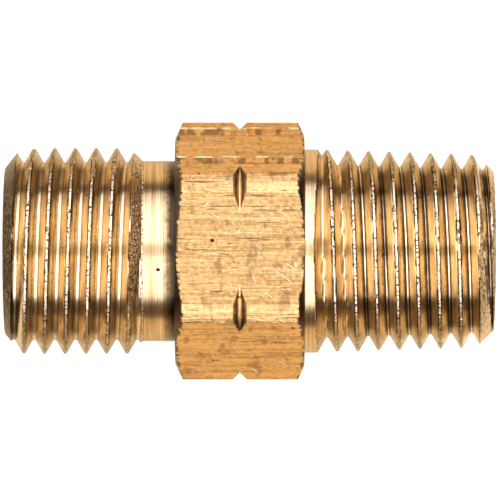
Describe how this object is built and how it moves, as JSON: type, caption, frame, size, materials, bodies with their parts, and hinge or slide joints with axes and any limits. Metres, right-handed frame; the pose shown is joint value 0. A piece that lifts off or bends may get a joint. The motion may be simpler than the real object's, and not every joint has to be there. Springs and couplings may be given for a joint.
{
  "type": "hex nipple",
  "caption": "Straight brass pipe nipple with a left-hand straight thread, a marked hexagon and a taper pipe thread around a through bore.",
  "frame": {"origin": "on the bore axis, at the middle of the hexagon", "axes": "+X along the bore from the left-hand straight thread to the taper pipe thread, +Z square to one flat of the hexagon"},
  "size_m": [0.0333, 0.0176, 0.0158],
  "materials": {
    "bar_brass": "machined from drawn bar, unplated, bright with brown tarnish in the thread roots"
  },
  "bodies": {
    "root": {"nipple_body": "bar_brass"}
  },
  "joints": []
}
